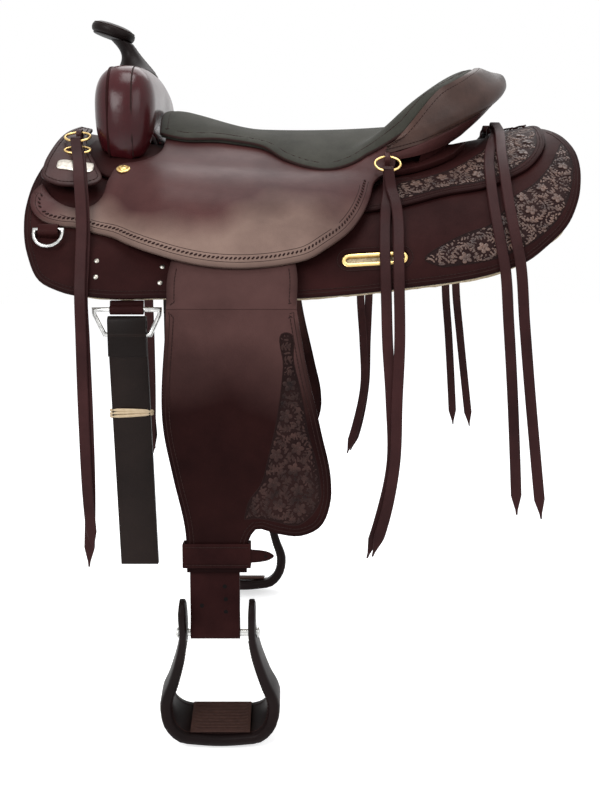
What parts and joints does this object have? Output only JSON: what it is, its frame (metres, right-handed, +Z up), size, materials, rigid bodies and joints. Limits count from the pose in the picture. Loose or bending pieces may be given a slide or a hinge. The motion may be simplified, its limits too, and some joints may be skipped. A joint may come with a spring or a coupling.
{
  "type": "western saddle",
  "caption": "Western saddle for a broad-backed horse: swell fork with horn, padded seat, skirts, fenders, stirrups, cinch dees, latigo and hanging tie strings.",
  "frame": {"origin": "the middle of the seat on the horse's back, 12 mm under the fleece's ridge line, where the horse carries the saddle", "axes": "+Z up; -X towards the horse's head; -Y towards the near (left) side"},
  "size_m": [0.6834, 0.6518, 0.9156],
  "materials": {
    "burgundy_leather": "smooth oiled leather, burgundy brown",
    "latigo_leather": "smooth latigo leather, dark red brown",
    "black_leather": "black oiled leather",
    "slate_suede": "matte rough-out suede, slate grey green",
    "fleece": "cream wool fleece",
    "rawhide_wood": "rawhide covered wood",
    "tread_leather": "dark ribbed tread pad",
    "brass": "polished brass",
    "stainless_steel": "stainless steel"
  },
  "bodies": {
    "saddle": {"tree_bar_left": "rawhide_wood", "tree_bar_right": "rawhide_wood", "tree_fork": "rawhide_wood", "tree_cantle": "rawhide_wood", "horn_core": "stainless_steel", "horn_wrap": "burgundy_leather", "horn_cap": "burgundy_leather", "ground_seat": "stainless_steel", "swell_cover": "burgundy_leather", "seat_leather": "burgundy_leather", "seat_pad": "slate_suede", "cantle_roll": "burgundy_leather", "cantle_back": "burgundy_leather", "rear_jockey_left": "burgundy_leather", "rear_jockey_right": "burgundy_leather", "front_jockey_left": "burgundy_leather", "front_jockey_right": "burgundy_leather", "skirt_left": "burgundy_leather", "skirt_right": "burgundy_leather", "fleece_lining_left": "fleece", "fleece_lining_right": "fleece", "rear_rig_plate_left": "brass", "rear_rig_plate_right": "brass", "front_chape_left": "burgundy_leather", "front_chape_right": "burgundy_leather", "rear_jockey_lacing": "latigo_leather", "string_ring_front_left": "brass", "string_ring_middle_left": "brass", "strings_front_left": "latigo_leather", "strings_middle_left": "latigo_leather", "strings_rear_left": "latigo_leather", "string_ring_front_right": "brass", "string_ring_middle_right": "brass", "strings_front_right": "latigo_leather", "strings_middle_right": "latigo_leather", "strings_rear_right": "latigo_leather"},
    "leather_swing_left": {"stirrup_leather_upper_left": "burgundy_leather", "fender_upper_left": "burgundy_leather"},
    "fender_left": {"fender_left": "burgundy_leather", "stirrup_leather_lower_left": "burgundy_leather", "hobble_strap_left": "burgundy_leather", "leather_buckle_left": "stainless_steel"},
    "stirrup_left": {"stirrup_left": "black_leather", "stirrup_bolt_left": "stainless_steel", "stirrup_tread_left": "tread_leather"},
    "front_dee_left": {"front_dee_left": "stainless_steel"},
    "latigo_left": {"latigo_left": "black_leather"},
    "breast_dee_left": {"breast_dee_left": "stainless_steel"},
    "leather_swing_right": {"stirrup_leather_upper_right": "burgundy_leather", "fender_upper_right": "burgundy_leather"},
    "fender_right": {"fender_right": "burgundy_leather", "stirrup_leather_lower_right": "burgundy_leather", "hobble_strap_right": "burgundy_leather", "leather_buckle_right": "stainless_steel"},
    "stirrup_right": {"stirrup_right": "black_leather", "stirrup_bolt_right": "stainless_steel", "stirrup_tread_right": "tread_leather"},
    "front_dee_right": {"front_dee_right": "stainless_steel"},
    "off_billet_right": {"off_billet_right": "black_leather"},
    "breast_dee_right": {"breast_dee_right": "stainless_steel"}
  },
  "joints": [
    {"name": "leather_swing_left", "type": "hinge", "parent": "saddle", "child": "leather_swing_left", "pos_m": [-0.078, -0.23481, -0.08569], "axis": [0, -0.848, 0.5299], "range_deg": [-14, 18]},
    {"name": "leather_lift_left", "type": "hinge", "parent": "leather_swing_left", "child": "fender_left", "pos_m": [0, -0.29548, -0.16222], "axis": [-1, 0, 0], "range_deg": [0, 65]},
    {"name": "stirrup_hinge_left", "type": "hinge", "parent": "fender_left", "child": "stirrup_left", "pos_m": [-0.1, -0.30134, -0.55628], "axis": [-1, 0, 0], "range_deg": [-60, 60]},
    {"name": "front_dee_hinge_left", "type": "hinge", "parent": "saddle", "child": "front_dee_left", "pos_m": [-0.206, -0.26654, -0.165], "axis": [-1, 0, 0], "range_deg": [-25, 4]},
    {"name": "latigo_left_hinge", "type": "hinge", "parent": "front_dee_left", "child": "latigo_left", "pos_m": [-0.206, -0.26654, -0.195], "axis": [-1, 0, 0], "range_deg": [-25, 3]},
    {"name": "breast_dee_hinge_left", "type": "hinge", "parent": "saddle", "child": "breast_dee_left", "pos_m": [-0.3, -0.24613, -0.07161], "axis": [-1, 0, 0], "range_deg": [0, 90]},
    {"name": "leather_swing_right", "type": "hinge", "parent": "saddle", "child": "leather_swing_right", "pos_m": [-0.078, 0.23481, -0.08569], "axis": [0, 0.848, 0.5299], "range_deg": [-18, 14]},
    {"name": "leather_lift_right", "type": "hinge", "parent": "leather_swing_right", "child": "fender_right", "pos_m": [0, 0.29548, -0.16222], "axis": [1, 0, 0], "range_deg": [0, 65]},
    {"name": "stirrup_hinge_right", "type": "hinge", "parent": "fender_right", "child": "stirrup_right", "pos_m": [-0.1, 0.30134, -0.55628], "axis": [1, 0, 0], "range_deg": [-60, 60]},
    {"name": "front_dee_hinge_right", "type": "hinge", "parent": "saddle", "child": "front_dee_right", "pos_m": [-0.206, 0.26654, -0.165], "axis": [1, 0, 0], "range_deg": [-25, 4]},
    {"name": "off_billet_right_hinge", "type": "hinge", "parent": "front_dee_right", "child": "off_billet_right", "pos_m": [-0.206, 0.26654, -0.195], "axis": [1, 0, 0], "range_deg": [-25, 3]},
    {"name": "breast_dee_hinge_right", "type": "hinge", "parent": "saddle", "child": "breast_dee_right", "pos_m": [-0.3, 0.24613, -0.07161], "axis": [1, 0, 0], "range_deg": [0, 90]}
  ]
}
